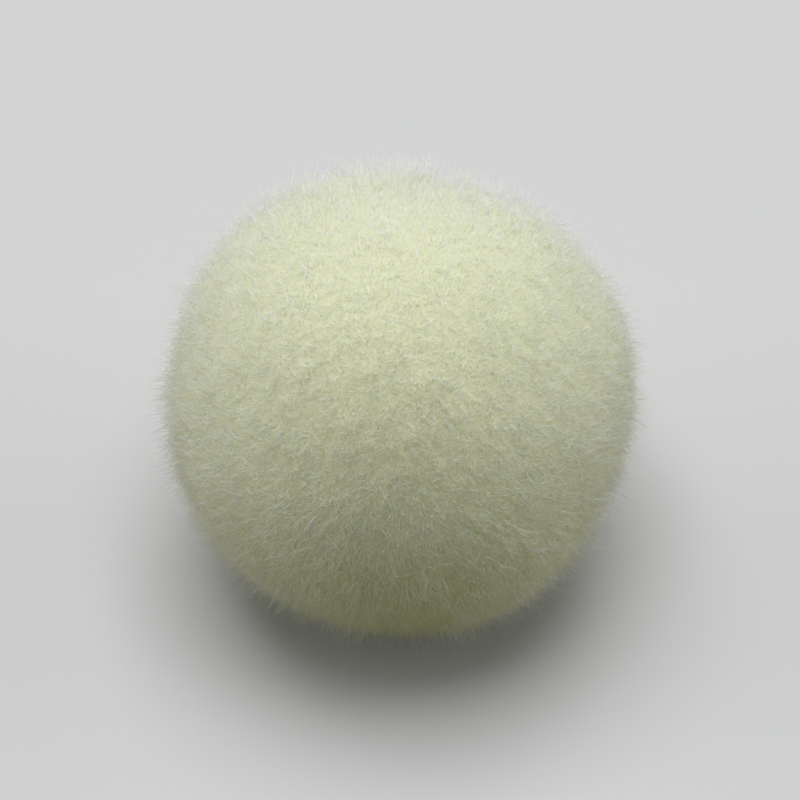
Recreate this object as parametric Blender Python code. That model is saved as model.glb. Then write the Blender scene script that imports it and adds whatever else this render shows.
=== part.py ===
"""A pompom: a trimmed ball of cut pile, lying on a flat surface.

The pile is one soft closed body. Its surface is broken into tufts, each a blunt crown with gaps around it:
the ends of the locks of fibre that spring out from the ball's middle. Underneath, the pile is pressed into a
small flat patch. Metres, +Z up. The origin is the middle of that patch.
"""

import math

import bmesh
import bpy
import numpy as np
from mathutils import Vector

# Driving dimensions
BALL_DIAMETER = 0.0200  # across the crowns of the tufts
REST_PATCH_DIAMETER = 0.0052  # the pile that is pressed flat under the ball
TUFT_COUNT = 1300  # locks of fibre whose ends make up the surface
TUFT_RELIEF = 0.00030  # from a crown down to the gaps around it
TUFT_LEAN = 0.00016  # how far a crown may lean to one side
TRIM_UNEVENNESS = 0.00007  # how far the shears leave a crown above or below the rest
GAP_UNEVENNESS = 0.00007  # how much deeper or shallower a gap is than the rest
SWELL_HEIGHT = 0.00045  # slow swells and flats that the shears leave
SWELL_WIDTH = 0.0120  # from one swell to the next

TUFT_SHAKE = 0.15  # how far a tuft sits off an even spacing, as a share of that spacing
TUFT_SEED = 7
SWELL_COUNT = 7  # waves that add up to the swells
SWELL_SEED = 3
PILE_COLOUR = (0.72, 0.74, 0.53, 1.0)
PILE_ROUGHNESS = 0.95
SHARP_ANGLE = math.radians(80)  # the rim of the patch and the deepest gaps stay crisp

BALL_RADIUS = BALL_DIAMETER / 2
REST_PATCH_RADIUS = REST_PATCH_DIAMETER / 2
CENTRE_HEIGHT = math.sqrt(BALL_RADIUS**2 - REST_PATCH_RADIUS**2)
GOLDEN_TURN = math.pi * (3 - math.sqrt(5))


def clear_scene():
    for old in list(bpy.data.objects):
        bpy.data.objects.remove(old, do_unlink=True)


def tuft_directions(rng):
    """Unit vectors from the ball's middle: a golden-angle spiral, each shaken off its even place."""
    step = np.arange(TUFT_COUNT) + 0.5
    height = 1 - 2 * step / TUFT_COUNT
    ring = np.sqrt(1 - height**2)
    turn = step * GOLDEN_TURN
    even = np.stack([ring * np.cos(turn), ring * np.sin(turn), height], axis=1)
    spacing = math.sqrt(4 * math.pi / TUFT_COUNT)
    shaken = even + rng.uniform(-TUFT_SHAKE, TUFT_SHAKE, even.shape) * spacing
    return shaken / np.linalg.norm(shaken, axis=1, keepdims=True)


def swell_waves():
    """Plane waves in random directions across the ball, SWELL_WIDTH from crest to crest."""
    heading = np.random.default_rng(SWELL_SEED).normal(size=(SWELL_COUNT, 3))
    heading /= np.linalg.norm(heading, axis=1, keepdims=True)
    return heading * (2 * math.pi * BALL_RADIUS / SWELL_WIDTH)


def surface_radius(direction, waves):
    """How far out the trimmed ball reaches in that direction: round, but for the mean of the waves."""
    swell = np.sin(waves @ np.array(direction) + np.arange(len(waves))).mean()
    return BALL_RADIUS + SWELL_HEIGHT * float(swell)


def crown_point(direction, waves, rng):
    """The end of a tuft, leaning a little to one side."""
    lean = Vector(rng.uniform(-TUFT_LEAN, TUFT_LEAN, 3))
    sideways = lean - direction * lean.dot(direction)
    trim = rng.uniform(-TRIM_UNEVENNESS, TRIM_UNEVENNESS)
    return direction * (surface_radius(direction, waves) + trim) + sideways


def gap_point(direction, waves, rng):
    """The dip between two tufts."""
    depth = TUFT_RELIEF + rng.uniform(-GAP_UNEVENNESS, GAP_UNEVENNESS)
    return direction * (surface_radius(direction, waves) - depth)


def press_flat(bm):
    """Squeezes the lowest pile into the patch, and joins the patch into one face."""
    for vert in bm.verts:
        over_patch = vert.co.z < 0 and math.hypot(vert.co.x, vert.co.y) < REST_PATCH_RADIUS
        if over_patch or vert.co.z < -CENTRE_HEIGHT:
            vert.co.z = -CENTRE_HEIGHT
    flat = {vert for vert in bm.verts if vert.co.z <= -CENTRE_HEIGHT}
    patch = [face for face in bm.faces if flat.issuperset(face.verts)]
    bmesh.ops.dissolve_faces(bm, faces=patch, use_verts=True)


def pile_mesh():
    """The ball about its own middle.

    A hull through the tufts gives each crown its neighbours, and the middle of each of its edges becomes the
    gap between the two tufts it joins.
    """
    rng = np.random.default_rng(TUFT_SEED)
    waves = swell_waves()
    bm = bmesh.new()
    crowns = [bm.verts.new(direction) for direction in tuft_directions(rng)]
    bmesh.ops.convex_hull(bm, input=crowns)
    halved = bmesh.ops.subdivide_edges(bm, edges=bm.edges, cuts=1, use_grid_fill=True)
    gaps = {part for part in halved["geom_inner"] if isinstance(part, bmesh.types.BMVert)}
    for vert in bm.verts:
        place = gap_point if vert in gaps else crown_point
        vert.co = place(vert.co.normalized(), waves, rng)
    press_flat(bm)
    bmesh.ops.recalc_face_normals(bm, faces=bm.faces)
    mesh = bpy.data.meshes.new("pompom")
    bm.to_mesh(mesh)
    bm.free()
    mesh.shade_smooth()
    mesh.set_sharp_from_angle(angle=SHARP_ANGLE)
    return mesh


def pile_material():
    material = bpy.data.materials.new("pile")
    material.use_nodes = True
    shader = material.node_tree.nodes["Principled BSDF"]
    shader.inputs["Base Color"].default_value = PILE_COLOUR
    shader.inputs["Roughness"].default_value = PILE_ROUGHNESS
    shader.inputs["Metallic"].default_value = 0
    return material


def make_pompom():
    mesh = pile_mesh()
    mesh.materials.append(pile_material())
    pompom = bpy.data.objects.new("pompom", mesh)
    pompom.location.z = CENTRE_HEIGHT
    return pompom


clear_scene()
collection = bpy.data.collections.new("pompom")
bpy.context.scene.collection.children.link(collection)
collection.objects.link(make_pompom())
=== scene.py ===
"""The looks of a pompom: a ball of fine crimped fibre, paler at its ends than down in the pile, as painted
shade in the depth and a painted highlight on the ends.

A dense body of pile stands in for the depth of the ball, and several coats of single fibres grow out of
it. The fibres gather into small locks, and their ends are trimmed to a round ball. Metres, +Z up, as in the
frame.
"""

import math

import bpy
import numpy as np
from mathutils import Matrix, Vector


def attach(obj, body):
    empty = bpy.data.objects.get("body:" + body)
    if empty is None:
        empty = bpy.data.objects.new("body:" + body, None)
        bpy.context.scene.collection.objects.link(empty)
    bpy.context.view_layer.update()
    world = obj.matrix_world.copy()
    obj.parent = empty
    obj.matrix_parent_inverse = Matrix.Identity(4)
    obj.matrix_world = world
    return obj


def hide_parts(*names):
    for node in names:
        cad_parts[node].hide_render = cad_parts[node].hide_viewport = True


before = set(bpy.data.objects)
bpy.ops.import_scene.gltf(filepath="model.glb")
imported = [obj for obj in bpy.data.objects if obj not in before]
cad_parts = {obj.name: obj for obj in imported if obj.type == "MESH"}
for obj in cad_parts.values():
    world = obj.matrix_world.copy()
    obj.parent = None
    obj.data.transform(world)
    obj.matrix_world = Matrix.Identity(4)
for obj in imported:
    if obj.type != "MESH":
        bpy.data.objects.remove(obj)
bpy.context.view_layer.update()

MM = 0.001
GOLDEN_TURN = math.pi * (3 - math.sqrt(5))

# The ball, as in the part's source

BALL_RADIUS = 10 * MM
REST_PATCH_RADIUS = 2.6 * MM
BALL_CENTRE = np.array([0, 0, math.sqrt(BALL_RADIUS**2 - REST_PATCH_RADIUS**2)])
SWELL_HEIGHT = 0.45 * MM
SWELL_WIDTH = 12 * MM
SWELL_COUNT = 7
SWELL_SEED = 3

# The pile

TRIM_DEPTH = 0.18 * MM  # the dense pile is trimmed this far inside the ball, and finer ends reach past it
LOCK_COUNT = 1700
LOCK_RELIEF = 0.03 * MM  # from the crown of a lock down to the seams around it
LOCK_UNEVENNESS = 0.035 * MM  # how far the shears leave a lock above or below the rest
LOCK_SEED = 7
LOCK_HEIGHT_SEED = 8
SHAKE = 0.5  # how far locks and roots stray from an even lattice, as a share of its spacing
BODY_DEPTH = 0.26 * MM  # from the trimmed ends down to the body's crowns
ROOT_DEPTH = 0.50 * MM  # from the trimmed ends down to the fibres' feet, inside the body
FLOOR_LIFT = 0.01 * MM  # kept free between the floor and all of the pile
PRESSED_DEPTH = 0.10 * MM  # the fibres pressed under the ball lie in a layer this thick, and the body on it


def unit(vectors):
    """Each vector shortened or stretched to a length of one."""
    return vectors / np.linalg.norm(vectors, axis=-1, keepdims=True)


def spiral(count, rng):
    """Directions spread evenly over the ball: each is one golden-angle turn and one even step of height on
    from the last, and then moved by a random share of their spacing, up to SHAKE."""
    step = np.arange(count) + 0.5
    height = 1 - 2 * step / count
    ring = np.sqrt(1 - height**2)
    turn = step * GOLDEN_TURN
    even = np.stack([ring * np.cos(turn), ring * np.sin(turn), height], axis=1)
    spacing = math.sqrt(4 * math.pi / count)
    return unit(even + rng.uniform(-SHAKE, SHAKE, even.shape) * spacing)


LOCKS = spiral(LOCK_COUNT, np.random.default_rng(LOCK_SEED))
LOCK_HEIGHTS = np.random.default_rng(LOCK_HEIGHT_SEED).uniform(-LOCK_UNEVENNESS, LOCK_UNEVENNESS, LOCK_COUNT)
SWELLS = unit(np.random.default_rng(SWELL_SEED).normal(size=(SWELL_COUNT, 3)))
SWELLS *= 2 * np.pi * BALL_RADIUS / SWELL_WIDTH


def trimmed_radius(directions):
    """The dense pile's radius with slow swells: the mean of seven waves over the ball, each of them
    sin(wave . direction), times SWELL_HEIGHT."""
    waves = np.sin(directions @ SWELLS.T + np.arange(SWELL_COUNT))
    return BALL_RADIUS - TRIM_DEPTH + SWELL_HEIGHT * waves.mean(axis=-1)


def nearest_lock(directions, block=4000):
    """The lock whose crown is nearest to each direction, and the angle to it in radians. Directions are taken
    a block at a time, so that the table of cosines stays small."""
    which = np.empty(len(directions), int)
    closeness = np.empty(len(directions))
    for start in range(0, len(directions), block):
        cosines = directions[start : start + block] @ LOCKS.T
        best = cosines.argmax(axis=1)
        which[start : start + block] = best
        closeness[start : start + block] = cosines[np.arange(len(best)), best]
    return which, np.arccos(np.clip(closeness, -1, 1))


def lock_relief(which, angle):
    """Height above or below the trimmed radius: from each lock's own height at its crown down to the seams
    around it, as the cosine of the angle from the crown. A lock is a cap with an even share of the ball."""
    lock_angle = 2 / math.sqrt(LOCK_COUNT)
    rise = np.cos(np.clip(angle / lock_angle, 0, 1) * np.pi / 2)
    return (LOCK_HEIGHTS[which] + LOCK_RELIEF) * rise - LOCK_RELIEF


def make_piece(name, points, triangles, material, uvs=None):
    """A smooth-shaded mesh piece that rides on the frame's one body."""
    mesh = bpy.data.meshes.new(name)
    mesh.vertices.add(len(points))
    mesh.vertices.foreach_set("co", points.astype(np.float32).ravel())
    mesh.loops.add(triangles.size)
    mesh.loops.foreach_set("vertex_index", triangles.astype(np.int32).ravel())
    mesh.polygons.add(len(triangles))
    mesh.polygons.foreach_set("loop_start", np.arange(0, triangles.size, 3, dtype=np.int32))
    mesh.update(calc_edges=True)
    if uvs is not None:
        layer = mesh.uv_layers.new(name="OFBake")
        layer.data.foreach_set("uv", uvs[triangles.ravel()].astype(np.float32).ravel())
    mesh.shade_smooth()
    mesh.materials.append(material)
    piece = bpy.data.objects.new(name, mesh)
    bpy.context.scene.collection.objects.link(piece)
    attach(piece, "root")
    return piece


# The body of the pile

BODY_COLUMNS = 250
BODY_ROWS = 128


def body_of_pile(material):
    """The dense pile under the fibre ends: a sphere in longitude and latitude, whose radius is the trimmed
    one with the locks' relief, less a constant depth. It is flat underneath, where it lies on the pressed
    fibres."""
    longitude = np.arange(BODY_COLUMNS) / BODY_COLUMNS * 2 * np.pi
    latitude = (np.arange(1, BODY_ROWS) / BODY_ROWS - 0.5) * np.pi
    across, up = np.meshgrid(longitude, latitude)
    rings = np.stack([np.cos(up) * np.cos(across), np.cos(up) * np.sin(across), np.sin(up)], axis=-1)
    poles = np.array([[0, 0, -1.0], [0, 0, 1.0]])
    directions = np.concatenate([rings.reshape(-1, 3), poles])
    radius = trimmed_radius(directions) + lock_relief(*nearest_lock(directions)) - BODY_DEPTH
    points = directions * radius[:, None] + BALL_CENTRE
    points[:, 2] = np.maximum(points[:, 2], FLOOR_LIFT + PRESSED_DEPTH)

    row = np.arange(BODY_ROWS - 1)[:, None] * BODY_COLUMNS
    here = np.arange(BODY_COLUMNS)
    beside = (here + 1) % BODY_COLUMNS
    below_here = row[:-1] + here
    below_beside = row[:-1] + beside
    above_beside = row[1:] + beside
    above_here = row[1:] + here
    lower_halves = np.stack([below_here, below_beside, above_beside], -1).reshape(-1, 3)
    upper_halves = np.stack([below_here, above_beside, above_here], -1).reshape(-1, 3)
    south = len(points) - 2
    north = len(points) - 1
    last = (BODY_ROWS - 2) * BODY_COLUMNS
    foot = np.stack([beside, here, np.full(BODY_COLUMNS, south)], -1)
    cap = np.stack([last + here, last + beside, np.full(BODY_COLUMNS, north)], -1)
    triangles = np.concatenate([lower_halves, upper_halves, foot, cap])
    piece = make_piece("pile_body", points, triangles, material)
    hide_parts("pompom")


# The fibres

FIBRE_SIDES = 3
MOST_SWAY = 2  # no fibre leans further than this many times its coat's lean
LEAST_PULL = 0.3  # of its coat's gather, for the fibre that is drawn least to its lock
LEAST_BOW = 0.4  # of its coat's crimp, for the straightest fibre
WAVE_SHARE = 0.7  # of the bow, for the wave at a right angle to it
WAVE_BENDS = 2.6  # half waves from root to tip
TIP_TAPER = 0.62  # thickness of the last ring before the tip, as a share of the first ring's
THICKNESS_SPREAD = 0.25  # how much a fibre may be thicker or thinner than its coat's width
MAP_MARGIN = 0.02  # kept free at both sides of the map
MAP_STEP = 0.004  # how far apart the sides of a fibre lie on the map


def sideways(directions, rng):
    """A random unit vector square to each direction: a normal draw, less its part along the direction."""
    loose = rng.normal(size=directions.shape)
    return unit(loose - directions * (loose * directions).sum(axis=1, keepdims=True))


def fibre_paths(count, reach, gather, lean, bends, crimp, clump, rng):
    """Middle lines of fibres, one row each: a straight run from root to tip, bowed sideways by crimp times
    sin(pi s), where s goes from 0 at the root to 1 at the tip, and waved by a second sine at a right angle.

    Roots are spread evenly. A tip lies towards its lock's crown by up to the share gather, and leans by lean
    radians times the size of a normal draw, up to MOST_SWAY. It ends at the trimmed radius plus a height out
    of reach, where u squared gives more short fibres than long ones. That height grows or shrinks by up to
    the share clump with the height of its lock.
    """
    lowest, highest = reach
    roots = spiral(count, rng)
    which, angle = nearest_lock(roots)
    lock = LOCKS[which]
    pull = gather * rng.uniform(LEAST_PULL, 1.0, (count, 1))
    sway = sideways(roots, rng) * np.minimum(np.abs(rng.normal(0, 1, (count, 1))), MOST_SWAY)
    trimmed = (trimmed_radius(roots) + lock_relief(which, angle))[:, None]
    height = lowest + (highest - lowest) * rng.uniform(0, 1, (count, 1)) ** 2
    height *= 1 + clump * (LOCK_HEIGHTS[which] / LOCK_UNEVENNESS)[:, None]
    length = ROOT_DEPTH + height
    tips = unit(roots + pull * (lock - roots) + sway * lean * length / trimmed) * (trimmed + height)
    feet = roots * (trimmed - ROOT_DEPTH)
    along = np.linspace(0, 1, bends + 2)[None, :, None]
    bow = sideways(roots, rng)
    square = np.cross(roots, bow)
    amount = crimp * length * rng.uniform(LEAST_BOW, 1.0, (count, 1))
    phase = rng.uniform(0, 2 * np.pi, (count, 1, 1))
    swing = np.sin(WAVE_BENDS * np.pi * along + phase) - np.sin(phase)
    path = feet[:, None] * (1 - along) + tips[:, None] * along
    path += (amount * bow)[:, None] * np.sin(np.pi * along)
    path += (amount * square)[:, None] * WAVE_SHARE * swing * along
    return path


def pressed(paths, lift, rng):
    """World positions of middle lines about the ball's middle, with the pile under the ball pressed flat: a
    point that would be sunk below lift by some depth is raised by that depth, and moved sideways by as much,
    in its fibre's own random direction."""
    world = paths + BALL_CENTRE
    sunk = np.maximum(lift - world[..., 2], 0)
    turn = rng.uniform(0, 2 * np.pi, (len(paths), 1))
    world += sunk[..., None] * np.stack([np.cos(turn), np.sin(turn), np.ones_like(turn)], axis=-1)
    return world


def fibre_triangles(count, rings):
    """Each fibre's closed skin: a foot, walls from ring to ring, and a point at the tip."""
    side = np.arange(FIBRE_SIDES)
    after = (side + 1) % FIBRE_SIDES
    level = (np.arange(rings - 1) * FIBRE_SIDES)[:, None]
    above = level + FIBRE_SIDES
    walls = np.concatenate([
        np.stack([level + side, level + after, above + after], -1).reshape(-1, 3),
        np.stack([level + side, above + after, above + side], -1).reshape(-1, 3),
    ])
    top = (rings - 1) * FIBRE_SIDES
    tip = np.stack([top + side, top + after, np.full(FIBRE_SIDES, rings * FIBRE_SIDES)], -1)
    pattern = np.concatenate([[[0, 2, 1]], walls, tip])
    per_fibre = rings * FIBRE_SIDES + 1
    return (np.arange(count)[:, None, None] * per_fibre + pattern).reshape(-1, 3)


def fibre_map(count, rings, rng):
    """The fibres' map: its width picks each fibre's tint at random, and its height runs from root to tip."""
    tint = rng.uniform(MAP_MARGIN, 1 - MAP_MARGIN, (count, 1))
    beside = (np.arange(FIBRE_SIDES) - 1) * MAP_STEP
    across = tint + np.append(np.tile(beside, rings), 0)[None]
    height = np.append(np.repeat(np.arange(rings) / rings, FIBRE_SIDES), 1)[None] * np.ones((count, 1))
    return np.stack([across, height], -1).reshape(-1, 2)


def fibre_coat(name, material, seed, count, width, reach, gather, lean, bends=0, crimp=0.0, clump=0.0):
    """Closed fibres along their middle lines: a ring of three points at the foot and at each bend, square to
    the line from foot to tip, and one point at the tip.

    Reach is how far over the trimmed radius the lowest and the highest tip stand. Gather is the most of the
    way that a tip is drawn to its lock's crown, lean is in radians, and bends are counted between root and
    tip. Crimp is the most that a fibre bows, as a share of its length, and clump the most that a tip rises or
    sinks with its lock, as a share of its height.
    """
    rng = np.random.default_rng(seed)
    path = fibre_paths(count, reach, gather, lean, bends, crimp, clump, rng)
    lift = FLOOR_LIFT + width + rng.uniform(0, PRESSED_DEPTH, (count, 1))
    path = pressed(path, lift, rng)
    heading = unit(path[:, -1] - path[:, 0])
    first = sideways(heading, rng)
    second = np.cross(heading, first)
    turn = (np.arange(FIBRE_SIDES) * 2 * np.pi / FIBRE_SIDES)[None, :, None]
    circle = first[:, None] * np.cos(turn) + second[:, None] * np.sin(turn)
    rings = bends + 1
    taper = np.linspace(1.0, TIP_TAPER, rings)[None, :, None, None]
    spread = rng.uniform(1 - THICKNESS_SPREAD, 1 + THICKNESS_SPREAD, (count, 1, 1, 1))
    tube = path[:, :-1, None] + circle[:, None] * (width / 2 * spread) * taper
    points = np.concatenate([tube.reshape(count, -1, 3), path[:, -1:]], axis=1).reshape(-1, 3)
    triangles = fibre_triangles(count, rings)
    make_piece(name, points, triangles, material, fibre_map(count, rings, rng))


# The finishes

# Deep shade colour: the fibres' own yellow darkened by painted shade, at the fibres' roots and in the body's
# hollows
DEEP_SHADE_COLOUR = (0.64, 0.67, 0.40)
BODY_COLOUR = (0.78, 0.80, 0.56)
MIDDLE_COLOUR = (0.905, 0.91, 0.895)
# The tips are painted paler than the middle, a painted highlight that whitens the lit top and the rims
TIP_COLOUR = (0.95, 0.953, 0.945)
# The fine ends are painted paler than the other fibres, a painted highlight for the pale halo at the rims
DOWN_COLOUR = (0.95, 0.953, 0.925)
SHEEN_COLOUR = (1.0, 1.0, 0.72)
SHEEN_ROUGHNESS = 0.6
GLOSS = 0.25
LIGHT_DEPTH = 0.20 * MM  # how far light soaks through the fibres
LIGHT_SPREAD = (1, 1, 0.3)  # and how much of that depth red, green and blue reach

# Fine mottle of the deep pile, with painted shade in its hollows
MOTTLE_SCALE = 3200
MOTTLE_DETAIL = 6
MOTTLE_ROUGHNESS = 0.7
MOTTLE_PLACES = (0.2, 0.8)
MOTTLE_BUMP = 0.8
MOTTLE_DEPTH = 0.1 * MM

# Heights on the map, from root to tip, of a fibre's three colours
FIBRE_PLACES = (0.0, 0.5, 0.85)

# From fibre to fibre, across the map: greener, plain, warmer
TINTS = ((0.96, 0.98, 0.92), (1.0, 1.0, 1.0), (1.0, 0.985, 0.94))
TINT_PLACES = (0.0, 0.5, 1.0)

# From patch to patch: where the pile is thinner and shows its depth, and where it is dense
PATCHES = ((0.96, 0.98, 0.88), (1.0, 1.0, 1.0))
PATCH_PLACES = (0.38, 0.62)
PATCH_SCALE = 420
PATCH_DETAIL = 2


def principled(name, roughness, sheen, soak):
    """A soft material, with its node tree and its shader. Soak is the share of the light that enters it."""
    material = bpy.data.materials.new(name)
    material.use_nodes = True
    shader = material.node_tree.nodes["Principled BSDF"]
    shader.inputs["Roughness"].default_value = roughness
    shader.inputs["Sheen Weight"].default_value = sheen
    shader.inputs["Sheen Roughness"].default_value = SHEEN_ROUGHNESS
    shader.inputs["Sheen Tint"].default_value = (*SHEEN_COLOUR, 1)
    shader.inputs["Specular IOR Level"].default_value = GLOSS
    shader.inputs["Subsurface Weight"].default_value = soak
    shader.inputs["Subsurface Scale"].default_value = LIGHT_DEPTH
    shader.inputs["Subsurface Radius"].default_value = LIGHT_SPREAD
    return material, material.node_tree, shader


def ramp(tree, places, colours):
    """A node that blends from colour to colour, each at its own place from 0 to 1."""
    node = tree.nodes.new("ShaderNodeValToRGB")
    elements = node.color_ramp.elements
    while len(elements) < len(places):
        elements.new(0.5)
    for element, place, colour in zip(elements, places, colours):
        element.position = place
        element.color = (*colour, 1)
    return node


def noise(tree, scale, detail):
    """Noise in Object coordinates, with scale cells to the metre."""
    where = tree.nodes.new("ShaderNodeTexCoord")
    node = tree.nodes.new("ShaderNodeTexNoise")
    node.inputs["Scale"].default_value = scale
    node.inputs["Detail"].default_value = detail
    tree.links.new(where.outputs["Object"], node.inputs["Vector"])
    return node


def multiply(tree, first, second):
    """The product of two colours."""
    mix = tree.nodes.new("ShaderNodeMix")
    mix.data_type = "RGBA"
    mix.blend_type = "MULTIPLY"
    mix.inputs["Factor"].default_value = 1
    tree.links.new(first, mix.inputs["A"])
    tree.links.new(second, mix.inputs["B"])
    return mix.outputs["Result"]


def body_finish():
    """Deep pile: a fine fibrous mottle, with painted shade that makes it darker and greener in its hollows.
    """
    material, tree, shader = principled("deep_pile", roughness=0.95, sheen=0.1, soak=0)
    mottle = noise(tree, MOTTLE_SCALE, MOTTLE_DETAIL)
    mottle.inputs["Roughness"].default_value = MOTTLE_ROUGHNESS
    colours = ramp(tree, MOTTLE_PLACES, (DEEP_SHADE_COLOUR, BODY_COLOUR))
    bump = tree.nodes.new("ShaderNodeBump")
    bump.inputs["Strength"].default_value = MOTTLE_BUMP
    bump.inputs["Distance"].default_value = MOTTLE_DEPTH
    tree.links.new(mottle.outputs["Fac"], colours.inputs["Fac"])
    tree.links.new(mottle.outputs["Fac"], bump.inputs["Height"])
    tree.links.new(colours.outputs["Color"], shader.inputs["Base Color"])
    tree.links.new(bump.outputs["Normal"], shader.inputs["Normal"])
    return material


def fibre_finish(name, colours, sheen):
    """Fibres: along the map's height from root to tip they grow paler, which is painted shade down at the
    roots and a painted highlight at the tips. Along its width each has its own tint, a little warmer or
    greener than the next. Slow patches in Object coordinates deepen some of the pile."""
    material, tree, shader = principled(name, roughness=0.7, sheen=sheen, soak=1)
    chart = tree.nodes.new("ShaderNodeUVMap")
    chart.uv_map = "OFBake"
    split = tree.nodes.new("ShaderNodeSeparateXYZ")
    length = ramp(tree, FIBRE_PLACES, colours)
    tint = ramp(tree, TINT_PLACES, TINTS)
    patches = noise(tree, PATCH_SCALE, PATCH_DETAIL)
    depth = ramp(tree, PATCH_PLACES, PATCHES)
    tree.links.new(chart.outputs["UV"], split.inputs["Vector"])
    tree.links.new(split.outputs["X"], tint.inputs["Fac"])
    tree.links.new(split.outputs["Y"], length.inputs["Fac"])
    tree.links.new(patches.outputs["Fac"], depth.inputs["Fac"])
    tinted = multiply(tree, length.outputs["Color"], tint.outputs["Color"])
    tree.links.new(multiply(tree, tinted, depth.outputs["Color"]), shader.inputs["Base Color"])
    return material


# The studio

CAMERA_HEIGHT = math.radians(50)
FIELD_OF_VIEW = math.radians(15.7)
NEAREST_SEEN = 1 * MM
BALL_SHARE = 0.60  # of the picture's width
FLOOR_COLOUR = (0.60, 0.60, 0.60)
FLOOR_BOUNCE = (0.27, 0.27, 0.14)  # what the floor gives back to the object
FLOOR_REACH = 0.5
BACKGROUND_COLOUR = (0.645, 0.65, 0.658)
FILL = 0.06
DAYLIGHT = (0.98, 0.985, 1.0)
# Each lamp's place, size and power: one soft light overhead, and one to each side
LAMPS = {
    "key": ((-0.06, 0.18, 2.00), 1.6, 40.5),
    "left": ((-1.78, 0.25, 0.60), 1.6, 13),
    "right": ((1.78, 0.25, 0.60), 1.6, 13.5),
}


def aim(thing, target):
    """Turns a camera or a lamp to look at the target."""
    thing.rotation_euler = (Vector(target) - thing.location).to_track_quat("-Z", "Y").to_euler()


def make_camera():
    """The camera looks down on the middle of the ball, from as far as BALL_SHARE asks."""
    data = bpy.data.cameras.new("camera")
    data.angle = FIELD_OF_VIEW
    data.clip_start = NEAREST_SEEN
    camera = bpy.data.objects.new("camera", data)
    distance = BALL_RADIUS / math.sin(math.atan(math.tan(FIELD_OF_VIEW / 2) * BALL_SHARE))
    target = Vector(BALL_CENTRE)
    back = Vector((0, -math.cos(CAMERA_HEIGHT), math.sin(CAMERA_HEIGHT)))
    camera.location = target + back * distance
    aim(camera, target)
    bpy.context.scene.collection.objects.link(camera)
    bpy.context.scene.camera = camera


def make_light(name, place, size, power):
    """A square soft light that looks at the ball."""
    data = bpy.data.lights.new(name, "AREA")
    data.size = size
    data.energy = power
    data.color = DAYLIGHT
    light = bpy.data.objects.new(name, data)
    light.location = place
    aim(light, BALL_CENTRE)
    bpy.context.scene.collection.objects.link(light)


def seen_directly(tree):
    """One for what the camera sees, also through glass or in a gloss, and nought for light on the object."""
    path = tree.nodes.new("ShaderNodeLightPath")
    share = path.outputs["Is Camera Ray"]
    for ray in ("Is Glossy Ray", "Is Transmission Ray"):
        either = tree.nodes.new("ShaderNodeMath")
        either.operation = "MAXIMUM"
        tree.links.new(share, either.inputs[0])
        tree.links.new(path.outputs[ray], either.inputs[1])
        share = either.outputs["Value"]
    return share


def make_world():
    """A soft even fill, which the camera sees as the pale background."""
    world = bpy.data.worlds.new("studio")
    world.use_nodes = True
    tree = world.node_tree
    fill = tree.nodes["Background"]
    fill.inputs["Color"].default_value = (1, 1, 1, 1)
    fill.inputs["Strength"].default_value = FILL
    seen = tree.nodes.new("ShaderNodeBackground")
    seen.inputs["Color"].default_value = (*BACKGROUND_COLOUR, 1)
    mix = tree.nodes.new("ShaderNodeMixShader")
    tree.links.new(seen_directly(tree), mix.inputs["Fac"])
    tree.links.new(fill.outputs["Background"], mix.inputs[1])
    tree.links.new(seen.outputs["Background"], mix.inputs[2])
    tree.links.new(mix.outputs["Shader"], tree.nodes["World Output"].inputs["Surface"])
    bpy.context.scene.world = world


def floor_finish():
    """Matt paper, pale to the camera, and darker and yellower to the light that it gives back."""
    paper = bpy.data.materials.new("paper")
    paper.use_nodes = True
    tree = paper.node_tree
    shader = tree.nodes["Principled BSDF"]
    shader.inputs["Roughness"].default_value = 1
    shader.inputs["Specular IOR Level"].default_value = 0
    mix = tree.nodes.new("ShaderNodeMix")
    mix.data_type = "RGBA"
    mix.inputs["A"].default_value = (*FLOOR_BOUNCE, 1)
    mix.inputs["B"].default_value = (*FLOOR_COLOUR, 1)
    tree.links.new(seen_directly(tree), mix.inputs["Factor"])
    tree.links.new(mix.outputs["Result"], shader.inputs["Base Color"])
    return paper


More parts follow.
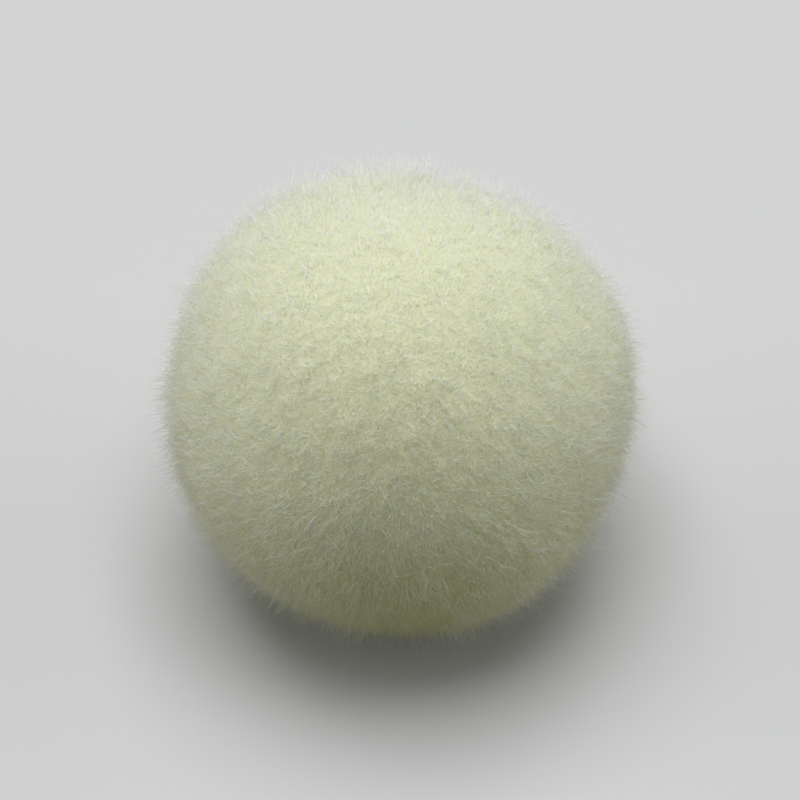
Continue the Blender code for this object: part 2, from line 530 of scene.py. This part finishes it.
def make_floor():
    """A square sheet, at the height of the ball's rest patch."""
    mesh = bpy.data.meshes.new("floor")
    reach = FLOOR_REACH
    corners = [(-reach, -reach, 0), (reach, -reach, 0), (reach, reach, 0), (-reach, reach, 0)]
    mesh.from_pydata(corners, [], [(0, 1, 2, 3)])
    mesh.materials.append(floor_finish())
    floor = bpy.data.objects.new("floor", mesh)
    bpy.context.scene.collection.objects.link(floor)


def make_studio():
    """Camera, lamps, world and floor."""
    make_camera()
    for name, (place, size, power) in LAMPS.items():
        make_light(name, place, size, power)
    make_world()
    make_floor()
    bpy.context.scene.view_settings.view_transform = "Standard"


# The coats, from the shortest to the strays

SHORT_FIBRES = {
    "width": 0.030 * MM,
    "reach": (-0.20 * MM, 0.02 * MM),
    "gather": 0.05,
    "lean": 0.8,
}
MIXED_FIBRES = {
    "width": 0.026 * MM,
    "reach": (-0.15 * MM, 0.22 * MM),
    "gather": 0.05,
    "lean": 0.8,
}
LONG_FIBRES = {
    "width": 0.026 * MM,
    "reach": (-0.10 * MM, 0.10 * MM),
    "gather": 0.10,
    "lean": 1.0,
    "bends": 1,
    "crimp": 0.30,
}
FINE_ENDS = {
    "width": 0.018 * MM,
    "reach": (0.00 * MM, 0.85 * MM),
    "gather": 0.10,
    "lean": 0.6,
    "clump": 0.6,
}
STRAY_FIBRES = {
    "width": 0.018 * MM,
    "reach": (0.20 * MM, 0.50 * MM),
    "gather": 0.05,
    "lean": 0.9,
    "bends": 1,
    "crimp": 0.35,
}

make_studio()
body_of_pile(body_finish())
# Paler from root to tip: painted shade down at the roots, a painted highlight at the tips
fibre = fibre_finish("fibre", (DEEP_SHADE_COLOUR, MIDDLE_COLOUR, TIP_COLOUR), sheen=0.6)
# The fine ends begin at the middle colour, not the deep shade: a painted highlight for the pale rims
down = fibre_finish("down", (MIDDLE_COLOUR, DOWN_COLOUR, TIP_COLOUR), sheen=0.9)
fibre_coat("short_fibres_1", fibre, seed=21, count=40000, **SHORT_FIBRES)
fibre_coat("short_fibres_2", fibre, seed=22, count=40000, **SHORT_FIBRES)
fibre_coat("short_fibres_3", fibre, seed=26, count=46000, **MIXED_FIBRES)
fibre_coat("long_fibres", fibre, seed=23, count=12000, **LONG_FIBRES)
fibre_coat("fine_ends_1", down, seed=27, count=36000, **FINE_ENDS)
fibre_coat("fine_ends_2", down, seed=28, count=36000, **FINE_ENDS)
fibre_coat("stray_fibres", down, seed=25, count=2000, **STRAY_FIBRES)
